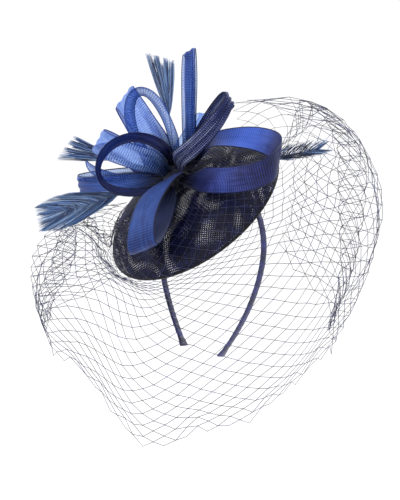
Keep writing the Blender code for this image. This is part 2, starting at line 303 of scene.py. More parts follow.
# bearing, rise, roll, reach, swell, width, drop, flare, turn, lean, skew, lift, finish (its colours partly painted
# light), pleats, pleat depth in mm
loops = {
    "loop_upright": (80.6, 49.7, -130.5, 0.965, 0.123, 0.391, 0.21, -26.1, 59.0, 0.16, -0.02, 1.07, "edged", 2, 0.30),
    "loop_upper_right": (34.4, 21.5, 117.2, 0.813, 0.103, 0.567, 0.26, -23.7, -67.2, 0.07, -0.93, 0.59, "lacy", 3, 0.75),
    "loop_wide_right": (16.5, -8.3, -112.1, 1.039, 0.254, 0.744, 0.36, 16.3, -64.0, 0.27, 0.54, -0.63, "ribbed", 1, 0.25),
    "loop_wide_low": (289.4, 20.4, -177.6, 0.866, 0.139, 1.003, 0.5, -1.3, 6.9, -0.22, -0.35, -0.28, "firm", 1, 0.30),
    "loop_left_ring": (227.2, 55.7, -145.4, 0.648, 0.214, 0.395, 0.32, 41.2, 5.5, -0.14, -0.46, -1.14, "dense", 2, 0.25),
    "loop_left_back": (190.2, 50.7, 116.4, 0.659, 0.154, 0.807, 0.26, 3.9, -1.7, 0.04, 0.59, -0.12, "misty", 3, 0.35),
    "loop_left_low": (209.2, 15.6, 116.6, 0.843, 0.1, 0.635, 0.3, -2.3, -3.7, -0.19, -0.06, 0.08, "edged", 3, 0.40),
    "loop_left_small": (182.7, 29.9, -114.6, 0.796, 0.151, 0.531, 0.25, -15.6, 16.4, -0.12, 0.08, 0.4, "sheer", 2, 0.30),
    "loop_upper_left": (132.3, 59.7, 94.7, 0.701, 0.138, 0.584, 0.32, -26.5, 18.0, -0.07, 0.21, 0.24, "sheer", 2, 0.25),
    "loop_upper_back": (141.1, 23.3, 176.6, 0.818, 0.146, 0.848, 0.26, -13.5, -4.4, 0.17, 0.33, -0.2, "misty", 3, 0.35),
    "loop_pale_back": (93.9, 7.4, -169.5, 0.637, 0.038, 0.489, 0.33, 3.8, -10.5, -0.08, -0.08, -0.68, "palest", 1, 0.20),
}
# how see-through a finish is in the middle and at its edges, how strong its cross ribs, lengthwise
# threads and streaks are, and its colours from shade to light; all are one braid, so the darker colours of the
# dense finishes are painted shade and the lighter ones of the sheer, misty and palest finishes painted light shining
# through from behind
braidFinishesAndPaintedLight = {
    "dense": (0.05, 0.04, 0.25, 0.25, 0.45, ("060a28", "0f1850", "2c3e8c")),
    "firm": (0.06, 0.04, 0.22, 0.12, 0.45, ("091238", "162c6c", "345aa6")),
    "ribbed": (0.12, 0.08, 0.36, 0.10, 0.40, ("070b34", "1a2468", "4a58b0")),
    "edged": (0.16, 0.80, 0.22, 0.40, 0.40, ("0a1440", "1c3480", "4c6eba")),
    "lacy": (0.30, 0.14, 0.30, 0.50, 1.10, ("080c2e", "1c2c70", "ccd2ea")),
    "sheer": (0.70, 0.46, 0.45, 0.20, 0.35, ("16388a", "2c5cb8", "7aa4e2")),
    "misty": (0.92, 0.50, 0.40, 0.25, 0.45, ("22409a", "5480d0", "c0d2f2")),
    "palest": (0.84, 0.74, 0.35, 0.20, 0.20, ("4a7cd0", "78a5e6", "b2cef4")),
}
# painted light and shade: how much brighter or darker than its finish a ribbon is painted at five places from root to
# root, for legs lit from behind or turned into shade
paintedLightAlongLoops = {
    "loop_upright": (0.0, 0.25, 0.05, -0.05, -0.1),
    "loop_upper_right": (-0.1, -0.25, -0.3, 0.0, 0.3),
    "loop_wide_right": (-0.9, 0.10, -0.6, 0.80, -0.2),
    "loop_wide_low": (-0.5, 0.05, 0.06, -0.55, -0.8),
    "loop_left_ring": (-0.3, 0.0, 0.10, -0.25, -0.4),
    "loop_left_low": (0.0, 0.25, 0.0, -0.2, -0.3),
    "loop_left_back": (-0.3, 0.1, 0.2, 0.2, -0.2),
    "loop_upper_left": (-0.4, -0.25, -0.35, 0.15, 0.0),
    "loop_upper_back": (0.0, 0.3, 0.1, -0.2, -0.3),
}


def loopPoints(row, stations, across):
    around, rise, roll = (math.radians(x) for x in row[:3])
    reach, swell, width = row[3] * ribbon["longest"], row[4] * ribbon["longest"], row[5] * ribbon["widest"]
    drop, flare, turn, lean, skew, lift = row[6:12]
    out = np.array([math.cos(rise) * math.cos(around), math.cos(rise) * math.sin(around), math.sin(rise)])
    flat = np.array([-math.sin(around), math.cos(around), 0.0])
    side = flat * math.cos(roll) + np.cross(out, flat) * math.sin(roll)
    swing = np.cross(side, out)
    start = math.acos(1.0 - ribbon["root"] / reach)
    phase = np.linspace(start, tau - start, stations)
    share = (1.0 - np.cos(phase)) / 2.0
    sample = np.linspace(0.05, math.pi, 80)
    peak = (np.sin(sample) * ((1.0 - np.cos(sample)) / 2.0) ** drop).max()
    bow = swell * np.sin(phase) * share ** drop / peak + lean * reach * share ** 2
    offset = (skew * np.cos(phase / 2.0) + lift) * width * smoothStep(share * 3.0)
    centre = np.outer(reach * share, out) + np.outer(bow, swing) + np.outer(offset, side)
    along = np.gradient(centre, axis=0)
    along /= np.linalg.norm(along, axis=1)[:, None]
    face = np.cross(along, side)
    face /= np.linalg.norm(face, axis=1)[:, None]
    twist = math.radians(flare) * smoothStep(share * 2.5) + math.radians(turn) * np.cos(phase / 2.0)
    lie = side[None, :] * np.cos(twist)[:, None] + face * np.sin(twist)[:, None]
    spread = ribbon["pinch"] + (width - ribbon["pinch"]) * smoothStep((share - 0.04) / 0.35)
    steps = np.linspace(-0.5, 0.5, across)
    points = centre[:, None, :] + lie[:, None, :] * (steps[None, :, None] * spread[:, None, None])
    return points + np.array(ribbon["knotCentre"]), spread, share


def braidMaterial(name, middleClear, edgeClear, rib, thread, streaky, colours):
    # horsehair braid: fine nylon woven flat, so light comes through it tinted and the ribs catch the lamp
    mat, tree = newMaterial(name + "Horsehair")
    cloth = addNode(tree, "ShaderNodeUVMap", {"uv_map": "cloth"}).outputs[0]  # millimetres across, along
    edge = addNode(tree, "ShaderNodeAttribute", {"attribute_name": "edge"}).outputs["Fac"]
    ribs = addNode(tree, "ShaderNodeTexWave", {"bands_direction": "Y", "Scale": 0.314 / 1.9, "Distortion": 2.2,
                   "Detail": 1.0, "Detail Scale": 0.6}, {"Vector": cloth}).outputs["Fac"]
    warp = addNode(tree, "ShaderNodeTexWave", {"bands_direction": "X", "Scale": 0.314 / 1.1, "Distortion": 0.5,
                   "Detail": 1.0, "Detail Scale": 0.5}, {"Vector": cloth}).outputs["Fac"]
    squeeze = addNode(tree, "ShaderNodeMapping", {"Scale": (0.55, 0.035, 1.0)}, {"Vector": cloth}).outputs[0]
    streak = addNode(tree, "ShaderNodeTexNoise", {"Scale": 1.0, "Detail": 3.0}, {"Vector": squeeze}).outputs["Fac"]
    cloud = addNode(tree, "ShaderNodeTexNoise", {"Scale": 0.09, "Detail": 2.0}, {"Vector": cloth}).outputs["Fac"]
    base = addNode(tree, "ShaderNodeMath", {"operation": "MULTIPLY", 1: streaky}, {0: streak}).outputs[0]
    weave = addNode(tree, "ShaderNodeMath", {"operation": "MULTIPLY_ADD", 1: rib}, {0: ribs, 2: base}).outputs[0]
    weave = addNode(tree, "ShaderNodeMath", {"operation": "MULTIPLY_ADD", 1: thread}, {0: warp, 2: weave}).outputs[0]
    weave = addNode(tree, "ShaderNodeMath", {"operation": "MULTIPLY_ADD", 1: 0.40}, {0: cloud, 2: weave}).outputs[0]
    # painted light and shade along each loop: legs lit from behind are painted lighter, legs turned away are painted
    # darker
    paintedLegLight = addNode(tree, "ShaderNodeAttribute", {"attribute_name": "paintedLegLight"}).outputs["Fac"]
    total = rib + thread + streaky + 0.40
    light = addNode(tree, "ShaderNodeMapRange", {"From Min": 0.26 * total, "From Max": 0.76 * total},
                    {"Value": weave}).outputs[0]
    light = addNode(tree, "ShaderNodeMath", {"operation": "MULTIPLY_ADD", 1: 0.6}, {0: paintedLegLight, 2: light}).outputs[0]
    shade, body, glow = colours
    colour = blendStops(tree, light, [(0.0, shade), (0.5, body), (1.0, glow)])
    band = addNode(tree, "ShaderNodeMapRange", {"From Min": 0.90, "From Max": 0.95}, {"Value": edge}).outputs[0]
    # the lightest legs also get a blue added: a painted glow of light shining through from behind
    paintedBacklight = addNode(tree, "ShaderNodeMath", {"operation": "MULTIPLY", 1: 1.1, "use_clamp": True}, {0: paintedLegLight}).outputs[0]
    colour = addNode(tree, "ShaderNodeMix", {"data_type": "RGBA", "blend_type": "ADD", 7: linear("064a9c")},
                     {"Factor": paintedBacklight, 6: colour}).outputs[2]
    bound = addNode(tree, "ShaderNodeMix", {"data_type": "RGBA", 7: linear(shade)}, {"Factor": band, 6: colour}).outputs[2]
    root = addNode(tree, "ShaderNodeAttribute", {"attribute_name": "root"}).outputs["Fac"]  # darker toward the knot: partly the crowded layers, partly painted shade where the loops shade their roots
    deep = addNode(tree, "ShaderNodeMix", {"data_type": "RGBA", 7: linear("04061a")}, {"Factor": root, 6: bound}).outputs[2]
    bump = addNode(tree, "ShaderNodeBump", {"Strength": 0.45, "Distance": 0.0004}, {"Height": weave})
    skin = addNode(tree, "ShaderNodeBsdfPrincipled", {"Roughness": 0.42, "Specular IOR Level": 0.3, "Sheen Weight": 0.12, "Sheen Roughness": 0.4,
                   "Sheen Tint": linear("9aaaf0"), "IOR": 1.5}, {"Base Color": deep, "Normal": bump.outputs[0]})
    gap = addNode(tree, "ShaderNodeBsdfTransparent", {"Color": linear("dfe9fc")})
    outside = addNode(tree, "ShaderNodeMapRange", {"From Min": 0.40, "From Max": 0.62, "To Min": middleClear,
                      "To Max": edgeClear}, {"Value": edge}).outputs[0]
    holes = addNode(tree, "ShaderNodeMapRange", {"From Min": 0.26 * total, "From Max": 0.74 * total, "To Min": 1.25, "To Max": 0.62},
                    {"Value": weave}).outputs[0]
    clear = addNode(tree, "ShaderNodeMath", {"operation": "MULTIPLY"}, {0: outside, 1: holes}).outputs[0]
    near = addNode(tree, "ShaderNodeMath", {"operation": "MULTIPLY_ADD", 1: -0.9, 2: 1.0}, {0: root}).outputs[0]
    clear = addNode(tree, "ShaderNodeMath", {"operation": "MULTIPLY"}, {0: clear, 1: near}).outputs[0]
    shut = addNode(tree, "ShaderNodeMapRange", {"From Min": 0.90, "From Max": 0.95, "To Min": 1.0, "To Max": 0.2},
                   {"Value": edge}).outputs[0]
    clear = addNode(tree, "ShaderNodeMath", {"operation": "MULTIPLY", "use_clamp": True}, {0: clear, 1: shut}).outputs[0]
    mix = addNode(tree, "ShaderNodeMixShader", links={0: clear, 1: skin.outputs[0], 2: gap.outputs[0]})
    addNode(tree, "ShaderNodeOutputMaterial", links={"Surface": mix.outputs[0]})
    return mat


def buildLoops():
    braids = {name: braidMaterial(name, *facts) for name, facts in braidFinishesAndPaintedLight.items()}
    for number, (name, row) in enumerate(loops.items()):
        rows, columns = ribbon["stations"], ribbon["across"]
        points, spread, share = loopPoints(row, rows, columns)
        along = np.gradient(points, axis=0)
        side = np.gradient(points, axis=1)
        normal = np.cross(along, side)
        normal /= np.linalg.norm(normal, axis=2)[..., None]
        u = np.linspace(-1.0, 1.0, columns)[None, :]
        run = np.concatenate([[0.0], np.cumsum(np.linalg.norm(np.diff(points[:, columns // 2], axis=0), axis=1))])
        open_ = smoothStep(share * 3.0)[:, None]
        pleat = row[14] * mm * np.cos(math.pi * row[13] * (u + 1.0) + 0.6 * np.sin(run[:, None] * 40 + number))
        tight = 0.9 * mm * np.cos(math.pi * 4.0 * (u + 1.0)) * (1.0 - open_)  # gathers near the knot
        wander = 0.35 * mm * np.sin(run[:, None] * (95 + 7 * number) + 2.2 * u + number)
        curl = 0.5 * mm * np.abs(u) ** 8 * open_
        points = points + normal * (pleat * open_ + tight + wander * open_ + curl)[..., None]
        item = newPiece(name.replace("loop", "braid"), hatToRow(points.reshape(-1, 3)), gridFaces(rows, columns),
                        braids[row[12]])
        mesh = item.data
        cloth = mesh.uv_layers.new(name="cloth")
        corner = np.zeros(len(mesh.loops), dtype=np.int32)
        mesh.loops.foreach_get("vertex_index", corner)
        place = np.stack([u * spread[:, None] * 500.0, np.repeat(run[:, None] * 1000.0, columns, axis=1)], axis=2)
        cloth.data.foreach_set("uv", (place.reshape(-1, 2)[corner] + 37.0 * number).ravel())
        edge = mesh.attributes.new("edge", "FLOAT", "POINT")
        edge.data.foreach_set("value", np.repeat(np.abs(u), rows, axis=0).ravel())
        # painted light and shade along the loop, carried to the material as a point attribute
        paintedTones = paintedLightAlongLoops.get(name, (0.0,) * 5)
        paintedLegLight = mesh.attributes.new("paintedLegLight", "FLOAT", "POINT")
        paintedLegLight.data.foreach_set("value", np.repeat(hermite(np.linspace(0.0, 1.0, 5), np.array(paintedTones)[:, None],
                                                        run / run[-1])[:, 0], columns))
        # root: 1 at the knot, fading along the loop; the braid darkens and shuts by it, partly for crowded layers and
        # partly as painted shade
        root = mesh.attributes.new("root", "FLOAT", "POINT")
        root.data.foreach_set("value", np.repeat((1.0 - smoothStep((share - 0.08) / 0.46)) * 0.96, columns))
        wall = item.modifiers.new("wall", "SOLIDIFY")
        wall.thickness, wall.offset = ribbon["thick"], 0.0
        settle(item)
        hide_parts(name)
        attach(item, "root")
    print("ribbon loops", len(loops))


buildLoops()


# ---------- net veil ----------
netting = {"reach": 130.0 * mm, "height": 180.0 * mm, "axisY": -10.0 * mm, "facing": -41.7,
           "across": 38, "down": 26, "thread": 0.17 * mm, "knot": 0.33 * mm, "seed": 4}
# turn, rim angle on the hat, then reach and height at shoulder, belly, lower belly and hem
veilRows = (
    (-140, 196, 0.690, -0.180, 0.755, -0.260, 0.755, -0.430, 0.710, -0.540),
    (-112, 204, 0.750, -0.215, 0.875, -0.290, 0.875, -0.480, 0.815, -0.620),
    (-86, 213, 0.780, -0.250, 0.935, -0.330, 0.945, -0.540, 0.870, -0.690),
    (-62, 224, 0.800, -0.290, 0.970, -0.400, 0.965, -0.610, 0.880, -0.745),
    (-40, 248, 0.780, -0.420, 0.970, -0.530, 0.965, -0.690, 0.880, -0.800),
    (-18, 282, 0.760, -0.480, 0.965, -0.620, 0.975, -0.820, 0.870, -1.010),
    (4, 316, 0.760, -0.400, 0.965, -0.570, 0.970, -0.790, 0.860, -0.965),
    (30, 347, 0.800, -0.250, 0.975, -0.430, 0.970, -0.650, 0.870, -0.845),
    (54, 373, 0.840, -0.040, 1.000, -0.250, 0.960, -0.500, 0.845, -0.710),
    (76, 394, 0.800, 0.200, 1.010, -0.010, 0.970, -0.360, 0.830, -0.655),
    (98, 412, 0.700, 0.290, 1.000, 0.040, 0.960, -0.330, 0.815, -0.610),
    (120, 430, 0.470, 0.330, 0.880, 0.160, 0.875, -0.230, 0.790, -0.490),
    (140, 448, 0.120, 0.300, 0.640, 0.235, 0.755, -0.120, 0.710, -0.330),
)


def veilRib(row, shares):
    turn = math.radians(netting["facing"] + row[0])
    onHat = math.radians(row[1])
    rim = straw["radius"] + 1.5 * mm
    ends = np.array([rim * math.cos(onHat), rim * math.sin(onHat)])
    ring = np.array(ribbon["knotCentre"][:2]) + 17.0 * mm * np.array([math.cos(onHat), math.sin(onHat)])
    knots = []
    for share in (0.0, 0.3, 0.58, 0.8, 0.93):  # over the straw, from the knot to the rim
        x, y = ring + (ends - ring) * share
        knots.append([x, y, float(domeHeight(math.hypot(x, y), 1.5 * mm)) + 0.3 * mm])
    knots.append([ends[0], ends[1], 1.0 * mm])
    knots = list(hatToRow(knots))
    for reach, height in zip(row[2::2], row[3::2]):
        far = reach * netting["reach"]
        knots.append(np.array([math.cos(turn) * far, netting["axisY"] + math.sin(turn) * far, height * netting["height"]]))
    knots = np.array(knots)
    stops = np.concatenate([[0.0], np.cumsum(np.linalg.norm(np.diff(knots, axis=0), axis=1))])
    over = stops[5]
    body = hermite(np.concatenate([[0.0], np.cumsum(np.linalg.norm(np.diff(knots[5:], axis=0), axis=1) ** 0.6)])
                   / (np.linalg.norm(np.diff(knots[5:], axis=0), axis=1) ** 0.6).sum(), knots[5:], np.linspace(0, 1, 120))
    top = hermite(stops[:6] / over, knots[:6], np.linspace(0, 1, 50))[:-1]
    curve = np.concatenate([top, body])
    length = np.concatenate([[0.0], np.cumsum(np.linalg.norm(np.diff(curve, axis=0), axis=1))])
    length /= length[-1]
    return np.stack([np.interp(shares, length, curve[:, axis]) for axis in range(3)], axis=1)


def netPoints(turns, shares):
    ribs = np.array([veilRib(row, shares) for row in veilRows])
    stops = np.array([row[0] for row in veilRows], dtype=float)
    return hermite(stops, ribs.reshape(len(veilRows), -1), turns.ravel()).reshape(*turns.shape, len(shares), 3)


# where round the net a pleat lies, how wide it is, how far it swings in degrees, how much it wanders
netPleats = (
    (0.15, 0.050, 24.0, 0.045),
    (0.23, 0.022, 7.0, 0.020),
    (0.78, 0.022, 8.0, 0.020),
    (0.88, 0.045, 22.0, 0.028),
)


def netLines():
    wide, deep = 2 * netting["across"], 2 * netting["down"]
    u = np.linspace(0.0, 1.0, wide + 1)
    v = np.linspace(0.0, 1.0, deep + 1)
    v = v - 0.012 * np.sin(tau * v)  # cells draw out a little toward the hem
    turns = np.repeat(-140.0 + 280.0 * u[:, None], deep + 1, axis=1)
    outward = np.zeros_like(turns)
    for middle, width, amount, wander in netPleats:  # the net doubles back on itself at both sides
        x = (u[:, None] - middle - wander * np.sin(7.0 * v[None, :] + 40.0 * middle)) / width
        turns = turns - amount * x * np.exp(-x ** 2 / 2) * 1.3
        outward = outward - 4.0 * mm * np.exp(-x ** 2 / 2)
    fan = np.linspace(-140.0, 140.0, 561)
    spread = netPoints(fan, v)
    points = np.stack([np.stack([np.interp(turns[:, j], fan, spread[:, j, axis]) for axis in range(3)], axis=1)
                       for j in range(deep + 1)], axis=1)
    free = smoothStep((v - 0.30) / 0.30)[None, :]
    near = np.exp(-((v - 0.42) / 0.12) ** 2)[None, :]
    middle = np.array([0.0, netting["axisY"], 0.0])
    away = (points - middle) * (1.0, 1.0, 0.0)
    away /= np.maximum(np.linalg.norm(away, axis=2), 1e-6)[..., None]
    angle = np.radians(turns)
    push = outward * free
    hem = smoothStep((v - 0.86) / 0.14)[None, :]
    points[..., 2] += hem * (2.2 * mm * np.sin(13.0 * angle + 0.4) + 1.6 * mm * np.sin(29.0 * angle))
    push = push + 2.6 * mm * free * np.sin(9 * angle + 3.0 * v[None, :] + 0.8)
    push = push + 1.6 * mm * near * np.sin(27 * angle + 1.3)
    push = push + 2.0 * mm * free * np.sin(14.0 * v[None, :] + 3.1 * angle)
    points = points + away * push[..., None]
    rng = np.random.default_rng(netting["seed"])
    points = points + rng.normal(0.0, 0.28 * mm, points.shape) * free[..., None]
    index = -np.ones((wide + 1, deep + 1), dtype=int)
    used, lines = [], []
    for i in range(wide + 1):
        for j in range(deep + 1):
            if (i + j) % 2 == 0:
                index[i, j] = len(used)
                used.append(points[i, j])
    for i in range(wide):
        for j in range(deep + 1):
            for k in (j - 1, j + 1):
                if 0 <= k <= deep and index[i, j] >= 0:
                    lines.append((index[i, j], index[i + 1, k]))
    fine = np.array([0.62 + 0.38 * float(smoothStep((v[j] - 0.2) / 0.15)) + 0.3 * v[j] for i in range(wide + 1)
                     for j in range(deep + 1) if (i + j) % 2 == 0])
    return np.array(used), lines, fine


def netTree():
    tree, given, done = newTree("knotted net", [("Thread", "Float"), ("Knot", "Float"), ("Finish", "Material")])
    curve = addNode(tree, "GeometryNodeMeshToCurve", links={0: given.outputs["Geometry"]})
    round_ = addNode(tree, "GeometryNodeCurvePrimitiveCircle", {"Resolution": 4}, {"Radius": given.outputs["Thread"]})
    fine = addNode(tree, "GeometryNodeInputNamedAttribute", {"data_type": "FLOAT", "Name": "fine"}).outputs[0]
    threads = addNode(tree, "GeometryNodeCurveToMesh",
                      links={"Curve": curve.outputs[0], "Profile Curve": round_.outputs[0], "Scale": fine})
    bead = addNode(tree, "GeometryNodeMeshUVSphere", {"Segments": 4, "Rings": 3}, {"Radius": given.outputs["Knot"]})
    size = addNode(tree, "FunctionNodeRandomValue", {"data_type": "FLOAT", 2: 0.7, 3: 1.15, "Seed": 7})
    knots = addNode(tree, "GeometryNodeInstanceOnPoints",
                    links={"Points": given.outputs["Geometry"], "Instance": bead.outputs[0], "Scale": size.outputs[1]})
    both = addNode(tree, "GeometryNodeJoinGeometry")
    tree.links.new(threads.outputs[0], both.inputs[0])
    tree.links.new(knots.outputs[0], both.inputs[0])
    real = addNode(tree, "GeometryNodeRealizeInstances", links={0: both.outputs[0]})
    finish = addNode(tree, "GeometryNodeSetMaterial", links={"Geometry": real.outputs[0], "Material": given.outputs["Finish"]})
    tree.links.new(finish.outputs[0], done.inputs[0])
    return tree


def netMaterial():  # veiling: twisted nylon thread, dyed navy, a little shiny
    mat, tree = newMaterial("dyedNylonThread")
    place = addNode(tree, "ShaderNodeTexCoord").outputs["Object"]
    noise = addNode(tree, "ShaderNodeTexNoise", {"Scale": 90.0, "Detail": 2.0}, {"Vector": place}).outputs["Fac"]
    colour = blendStops(tree, noise, [(0.35, "0c0e2e"), (0.55, "191c52"), (0.72, "33387c")])
    skin = addNode(tree, "ShaderNodeBsdfPrincipled", {"Roughness": 0.4, "Sheen Weight": 0.15}, {"Base Color": colour})
    addNode(tree, "ShaderNodeOutputMaterial", links={"Surface": skin.outputs[0]})
    return mat


def buildNet():
    mat = netMaterial()
    points, lines, fine = netLines()
    item = newPiece("net_veil", points, [], mat, edges=lines)
    item.data.attributes.new("fine", "FLOAT", "POINT").data.foreach_set("value", fine)  # thinner on the straw
    runTree(item, netTree(), {"Thread": netting["thread"], "Knot": netting["knot"], "Finish": mat})
    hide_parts("veil")
    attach(item, "root")
    print("net veil", len(points), "knots", len(item.data.polygons), "faces")


buildNet()


# ---------- feathers ----------
plume = {"barb": 0.26 * mm, "quill": 0.8 * mm, "seed": 12}
# bearing, rise, roll, reach, width, share where the barbs start, number of barbs, droop, kind, dye
feathers = {
    "feather_upper": (112.0, 36.5, 185.0, 96.0, 27.0, 0.50, 360, 0.015, "brush", 0.50),
    "feather_left": (193.5, 34.0, 113.0, 91.0, 27.0, 0.56, 240, 0.006, "brush", 0.45),
    "feather_low": (242.2, 24.0, 78.0, 112.0, 31.0, 0.42, 440, -0.008, "leaf", 0.48),
    "feather_right": (20.6, -6.1, 80.0, 128.0, 17.0, 0.62, 130, 0.0, "comb", 0.2),
}


def featherLines(row, rng):
    around, rise, roll = (math.radians(x) for x in row[:3])
    reach, width, start, count, droop, kind = row[3] * mm, row[4] * mm, row[5], row[6], row[7], row[8]
    out = np.array([math.cos(rise) * math.cos(around), math.cos(rise) * math.sin(around), math.sin(rise)])
    flat = np.array([-math.sin(around), math.cos(around), 0.0])
    side = flat * math.cos(roll) + np.cross(out, flat) * math.sin(roll)
    swing = np.cross(side, out)
    origin = np.array(ribbon["knotCentre"])
    lines = []

    def at(share, across, lift):
        return (origin + np.outer(share, out) * reach + np.outer(across, side)
                + np.outer(droop * reach * share ** 2 + lift, swing))

    t = np.linspace(0.0, 1.0, 8)
    last = 0.72 if kind == "brush" else 0.95
    quill = at(np.linspace(0.06, last, 9), np.zeros(9), np.zeros(9))
    for number in range(count):
        hand = 1 if number % 2 else -1
        place = (number + rng.uniform(0, 1)) / count
        if kind == "leaf":  # a full vane: the barbs lie close, sweep forward and end in a broad tip
            root = start + (last - start) * min(place, 0.70)
            tip = min(1.0 - 0.05 * rng.uniform(), root + 0.29 + 0.03 * rng.uniform())
            near = (tip - start) / (1.0 - start)
            belly = (1.0 - (1.0 - min(1.0, near * 1.35)) ** 2) * (1.0 - 0.30 * max(0.0, near - 0.8) / 0.2)
            across = hand * width / 2 * belly * t ** 0.7 * (1.0 - (place > 0.70) * rng.uniform())
            lift = rng.normal(0.0, 0.5 * mm) * t ** 2
        elif kind == "comb":
            root = start + (last - start) * place
            tip = min(1.02, root + 0.08 + 0.10 * rng.uniform())
            across = hand * width / 2 * t ** 0.9 * rng.uniform(0.8, 1.0) * (1.1 if hand > 0 else 0.6)
            across = across * (1.0 - 0.5 * max(0.0, place - 0.6) / 0.4)
            lift = rng.normal(0.0, 0.8 * mm) * t ** 2
        else:  # a stripped feather: long barbs side by side in a few locks, their tips nearly level
            root = start + (last - start) * place ** 1.4
            lock = rng.integers(0, 9)
            aim = (lock + 0.5) / 9 * 2 - 1 + rng.normal(0.0, 0.06)
            tip = 1.0 - 0.07 * aim * hand ** 2 - 0.04 * rng.uniform() ** 2 - 0.05 * (lock % 3 == 1)
            across = width / 2 * aim * (t * (tip - root) / (1 - start)) ** 0.7
            lift = (rng.normal(0.0, 0.8 * mm) + 0.8 * mm * math.sin(2.5 * lock)) * t ** 2
        lines.append(at(root + (tip - root) * t, across, lift))
    return quill, lines


def barbTree():
    tree, given, done = newTree("barbs", [("Thickness", "Float"), ("Finish", "Material")])
    curve = addNode(tree, "GeometryNodeMeshToCurve", links={0: given.outputs["Geometry"]})
    way = addNode(tree, "GeometryNodeSplineParameter").outputs["Factor"]
    taper = addNode(tree, "ShaderNodeMapRange", {"From Min": 0.55, "To Min": 1.0, "To Max": 0.25}, {"Value": way}).outputs[0]
    profile = addNode(tree, "GeometryNodeCurvePrimitiveCircle", {"Resolution": 3}, {"Radius": given.outputs["Thickness"]})
    body = addNode(tree, "GeometryNodeCurveToMesh", {"Fill Caps": True},
                   {"Curve": curve.outputs[0], "Profile Curve": profile.outputs[0], "Scale": taper})
    real = addNode(tree, "GeometryNodeRealizeInstances", links={0: body.outputs[0]})
    finish = addNode(tree, "GeometryNodeSetMaterial", links={"Geometry": real.outputs[0], "Material": given.outputs["Finish"]})
    tree.links.new(finish.outputs[0], done.inputs[0])
    return tree


def featherMaterial():  # dyed cock feather: keratin barbs, dull at the root and silky at the tips
    mat, tree = newMaterial("dyedFeather")
    dye = addNode(tree, "ShaderNodeAttribute", {"attribute_name": "dye"}).outputs["Fac"]
    colour = blendStops(tree, dye, [(0.0, "060a26"), (0.35, "17306c"), (0.7, "4a7abe"), (1.0, "9cbeec")])
    skin = addNode(tree, "ShaderNodeBsdfPrincipled", {"Roughness": 0.5, "Sheen Weight": 0.3}, {"Base Color": colour})
    addNode(tree, "ShaderNodeOutputMaterial", links={"Surface": skin.outputs[0]})
    return mat


def buildFeathers():
    mat, tree = featherMaterial(), barbTree()
    for number, (name, row) in enumerate(feathers.items()):
        rng = np.random.default_rng(plume["seed"] + number)
        quill, barbs = featherLines(row, rng)
        points, edges, dye = [], [], []
        for line in [quill, quill + 0.2 * mm] + barbs:
            first = len(points)
            points.extend(line)
            edges.extend((first + i, first + i + 1) for i in range(len(line) - 1))
            shade = row[9] - 0.04 + 0.5 * rng.normal() if len(line) < 9 else -0.2
            dye.extend(np.clip(shade + 0.20 * np.linspace(-1.0, 1.0, len(line)), 0.0, 1.0))
        item = newPiece(name.replace("feather", "plume"), hatToRow(points), [], mat, edges=edges)
        item.data.attributes.new("dye", "FLOAT", "POINT").data.foreach_set("value", dye)
        runTree(item, tree, {"Thickness": plume["barb"], "Finish": mat})
        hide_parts(name)
        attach(item, "root")
    print("feathers", len(feathers))


buildFeathers()


# ---------- headband wrapped in satin ----------
band = {"halfSpan": 57.6 * mm, "crownRise": 52.2 * mm, "armDrop": 82.0 * mm, "tipHalfGap": 20.2 * mm,
        "width": 5.5 * mm, "tipWidth": 8.0 * mm, "thick": 2.2 * mm, "bend": 1.8,
        "wrapPitch": 5.5 * mm, "wrapStep": 0.22 * mm, "around": 20}


def satinMaterial():  # satin ribbon: smooth on one side, wound on the slant, so each turn has its own soft light
    mat, tree = newMaterial("wrappedSatin")
    place = addNode(tree, "ShaderNodeTexCoord").outputs["Object"]
    wide = addNode(tree, "ShaderNodeTexNoise", {"Scale": 120.0, "Detail": 2.0}, {"Vector": place}).outputs["Fac"]
    fine = addNode(tree, "ShaderNodeTexNoise", {"Scale": 1400.0, "Detail": 2.0}, {"Vector": place}).outputs["Fac"]
    colour = blendStops(tree, wide, [(0.35, "0e1036"), (0.55, "1a1e58"), (0.7, "2b3178")])
    bump = addNode(tree, "ShaderNodeBump", {"Strength": 0.15, "Distance": 0.0001}, {"Height": fine})
    skin = addNode(tree, "ShaderNodeBsdfPrincipled", {"Roughness": 0.34, "Sheen Weight": 0.2},
                   {"Base Color": colour, "Normal": bump.outputs[0]})
    addNode(tree, "ShaderNodeOutputMaterial", links={"Surface": skin.outputs[0]})
    return mat


def bandPath(count):
    bow = np.linspace(0.0, math.pi / 2, 200)
    fall = np.linspace(0.0, 1.0, 200)[1:]
    armX = band["halfSpan"] - (band["halfSpan"] - band["tipHalfGap"]) * fall ** band["bend"]
    x = np.concatenate([band["halfSpan"] * np.sin(bow), armX])
    z = np.concatenate([-band["crownRise"] * (1 - np.cos(bow)), -band["crownRise"] - band["armDrop"] * fall])
    x, z = np.concatenate([-x[:0:-1], x]), np.concatenate([z[:0:-1], z])
    length = np.concatenate([[0.0], np.cumsum(np.hypot(np.diff(x), np.diff(z)))])
    even = np.linspace(0, length[-1], count)
    return even, np.stack([np.interp(even, length, x), np.zeros(count), np.interp(even, length, z)], axis=1)


